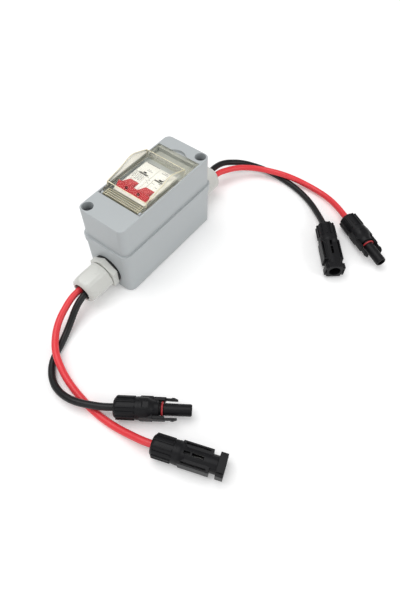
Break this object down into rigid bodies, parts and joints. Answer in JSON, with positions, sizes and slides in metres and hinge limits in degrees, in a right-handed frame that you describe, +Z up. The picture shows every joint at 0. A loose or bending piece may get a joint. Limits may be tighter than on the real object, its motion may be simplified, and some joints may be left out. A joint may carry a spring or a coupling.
{
  "type": "dc breaker box",
  "caption": "Small weatherproof box with a two-pole DC breaker under a clear hinged window, a cable gland at each end and plug-ended cables.",
  "frame": {"origin": "centre of the underside of the box, on the surface it stands on", "axes": "+X along the box from one gland to the other, +Y across it away from the plug connectors, +Z up through the window"},
  "size_m": [0.3406, 0.2272, 0.0933],
  "materials": {
    "enclosure": "fine satin moulded polycarbonate, pale blue-grey",
    "window": "clear polycarbonate with a faint smoky tint",
    "rubber": "matt black",
    "steel": "zinc-plated",
    "gland": "light grey nylon, satin",
    "breaker_case": "white moulded, satin",
    "indicator": "small dark windows",
    "handle": "red moulded, satin",
    "copper": "bare copper",
    "brass": "plated brass",
    "latch": "black nylon",
    "red_cable": "red cross-linked sheath, satin",
    "black_cable": "black cross-linked sheath, satin",
    "connector": "black moulded nylon, satin",
    "contact_metal": "tin-plated copper",
    "seal_ring": "red silicone"
  },
  "bodies": {
    "box": {"base": "enclosure", "lid": "enclosure", "lid_gasket": "rubber", "lid_screws": "steel", "door_hinge_pin": "steel", "din_rail": "steel", "rail_screws": "steel", "near_gland_body": "gland", "near_gland_washer": "rubber", "near_gland_locknut": "gland", "near_gland_seal": "rubber", "near_gland_nut": "gland", "far_gland_body": "gland", "far_gland_washer": "rubber", "far_gland_locknut": "gland", "far_gland_seal": "rubber", "far_gland_nut": "gland", "left_pole_case": "breaker_case", "left_pole_cover": "breaker_case", "right_pole_case": "breaker_case", "right_pole_cover": "breaker_case", "breaker_rivets": "steel", "status_windows": "indicator", "contact_pivots": "steel", "fixed_contacts": "copper", "arc_chutes": "steel", "trip_coils": "copper", "trip_yokes": "steel", "terminal_clamps": "brass", "terminal_screws": "steel", "red_leads": "red_cable", "black_leads": "black_cable", "red_cable_near": "red_cable", "black_cable_near": "black_cable", "red_cable_far": "red_cable", "black_cable_far": "black_cable", "near_plug_housing": "connector", "near_plug_nut": "connector", "near_plug_grip": "rubber", "near_plug_contact": "contact_metal", "near_plug_ring": "seal_ring", "far_plug_housing": "connector", "far_plug_nut": "connector", "far_plug_grip": "rubber", "far_plug_contact": "contact_metal", "far_plug_ring": "seal_ring", "near_shell_housing": "connector", "near_shell_nut": "connector", "near_shell_grip": "rubber", "near_shell_pin": "contact_metal", "far_shell_housing": "connector", "far_shell_nut": "connector", "far_shell_grip": "rubber", "far_shell_pin": "contact_metal"},
    "window": {"window_door": "window"},
    "handle": {"toggle_handle": "handle", "toggle_drums": "breaker_case"},
    "contacts": {"contact_arms": "copper"},
    "left_latch": {"left_rail_latch": "latch"},
    "right_latch": {"right_rail_latch": "latch"}
  },
  "joints": [
    {"name": "window_hinge", "type": "hinge", "parent": "box", "child": "window", "pos_m": [-0.0329, 0, 0.0784], "axis": [0, -1, 0], "range_deg": [0, 95]},
    {"name": "handle_throw", "type": "hinge", "parent": "box", "child": "handle", "pos_m": [-0.0026, 0, 0.0664], "axis": [0, 1, 0], "range_deg": [0, 60]},
    {"name": "contact_swing", "type": "hinge", "parent": "box", "child": "contacts", "pos_m": [-0.004, 0, 0.049], "axis": [0, 1, 0], "range_deg": [-20, 0]},
    {"name": "left_latch_slide", "type": "slide", "parent": "box", "child": "left_latch", "axis": [1, 0, 0], "range_m": [0, 0.0045], "stiffness_N_per_m": 400},
    {"name": "right_latch_slide", "type": "slide", "parent": "box", "child": "right_latch", "axis": [1, 0, 0], "range_m": [0, 0.0045], "stiffness_N_per_m": 400}
  ],
  "couplings": [
    {"joint": "contact_swing", "follows": "handle_throw", "ratio": -0.33333}
  ]
}
